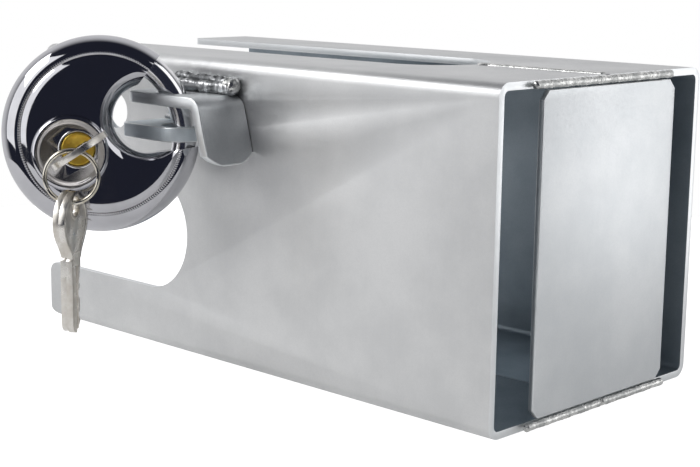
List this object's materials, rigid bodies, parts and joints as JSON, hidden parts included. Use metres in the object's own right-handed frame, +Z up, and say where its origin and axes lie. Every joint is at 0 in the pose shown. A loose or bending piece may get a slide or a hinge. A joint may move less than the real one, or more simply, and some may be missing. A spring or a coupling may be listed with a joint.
{
  "type": "trailer coupler lock",
  "caption": "Folded zinc steel box that slides over a trailer's coupling head, closed by a cross pin and tongue under a welded guard with a round closed-shackle padlock and keys.",
  "frame": {"origin": "on the underside of the box, on the bottom seam, midway along its 230 mm length", "axes": "+X from the open mouth to the welded end plate, +Y away from the padlock, +Z up through the slotted top"},
  "size_m": [0.231, 0.1839, 0.1181],
  "materials": {
    "galvanised_sheet": "matt zinc plating with a fine grain, smooth bends and pale cut edges",
    "weld_metal": "rippled weld bead under the same zinc plating",
    "guard_steel": "zinc plated bar and plate, satin",
    "polished_stainless": "pressed stainless steel polished to a mirror",
    "hardened_chrome": "hard chromed round bar",
    "die_cast_zinc": "dull grey die casting, out of sight inside the padlock",
    "brass": "turned yellow brass, lightly worn",
    "nickel_plate": "nickel plated brass and spring wire, slightly worn"
  },
  "bodies": {
    "coupler_box": {"near_channel": "galvanised_sheet", "far_channel": "galvanised_sheet", "end_plate": "galvanised_sheet", "top_seam_weld": "weld_metal", "bottom_seam_weld": "weld_metal", "end_plate_top_weld": "weld_metal", "end_plate_bottom_weld_near": "weld_metal", "end_plate_bottom_weld_far": "weld_metal", "guard_bracket": "guard_steel", "guard_weld": "weld_metal"},
    "locking_bolt": {"locking_pin": "guard_steel", "locking_tongue": "guard_steel", "tongue_weld": "weld_metal"},
    "padlock_body": {"padlock_front_shell": "polished_stainless", "padlock_rear_shell": "polished_stainless", "lock_frame": "die_cast_zinc", "cylinder_guard": "polished_stainless", "cylinder_housing": "brass"},
    "shackle_bar": {"shackle": "hardened_chrome", "shackle_carrier": "die_cast_zinc"},
    "lock_plug": {"cylinder_plug": "brass", "drive_cam": "brass"},
    "lock_key": {"inserted_key": "nickel_plate"},
    "split_ring": {"key_ring": "nickel_plate"},
    "front_hanging_key": {"hanging_key": "nickel_plate"},
    "rear_hanging_key": {"spare_key": "nickel_plate"}
  },
  "joints": [
    {"name": "bolt_slide", "type": "slide", "parent": "coupler_box", "child": "locking_bolt", "axis": [0, 1, 0], "range_m": [-0.001, 0.0014]},
    {"name": "padlock_swing", "type": "hinge", "parent": "coupler_box", "child": "padlock_body", "pos_m": [-0.0206, -0.0665, 0.09], "axis": [0, 0, 1], "range_deg": [-2, 12]},
    {"name": "shackle_turn", "type": "hinge", "parent": "padlock_body", "child": "shackle_bar", "pos_m": [-0.0359, -0.0882, 0.0841], "axis": [0.7927, -0.6017, 0.0976], "range_deg": [0, 72]},
    {"name": "plug_turn", "type": "hinge", "parent": "padlock_body", "child": "lock_plug", "pos_m": [-0.04029, -0.09479, 0.07912], "axis": [-0.7927, 0.6017, -0.0976], "range_deg": [0, 90]},
    {"name": "key_slide", "type": "slide", "parent": "lock_plug", "child": "lock_key", "axis": [0.7927, -0.6017, 0.0976], "range_m": [0, 0.03]},
    {"name": "ring_swing", "type": "hinge", "parent": "lock_key", "child": "split_ring", "pos_m": [-0.01261, -0.11498, 0.08231], "axis": [0.6046, 0.7965, 0], "range_deg": [-15, 5]},
    {"name": "front_key_swing", "type": "hinge", "parent": "split_ring", "child": "front_hanging_key", "pos_m": [-0.01365, -0.11644, 0.06546], "axis": [0.8406, 0.5417, 0], "range_deg": [-15, 20]},
    {"name": "rear_key_swing", "type": "hinge", "parent": "split_ring", "child": "rear_hanging_key", "pos_m": [-0.01514, -0.1184, 0.06564], "axis": [0.8406, 0.5417, 0], "range_deg": [-8, 20]}
  ],
  "couplings": [
    {"joint": "shackle_turn", "follows": "plug_turn", "ratio": 0.8}
  ]
}
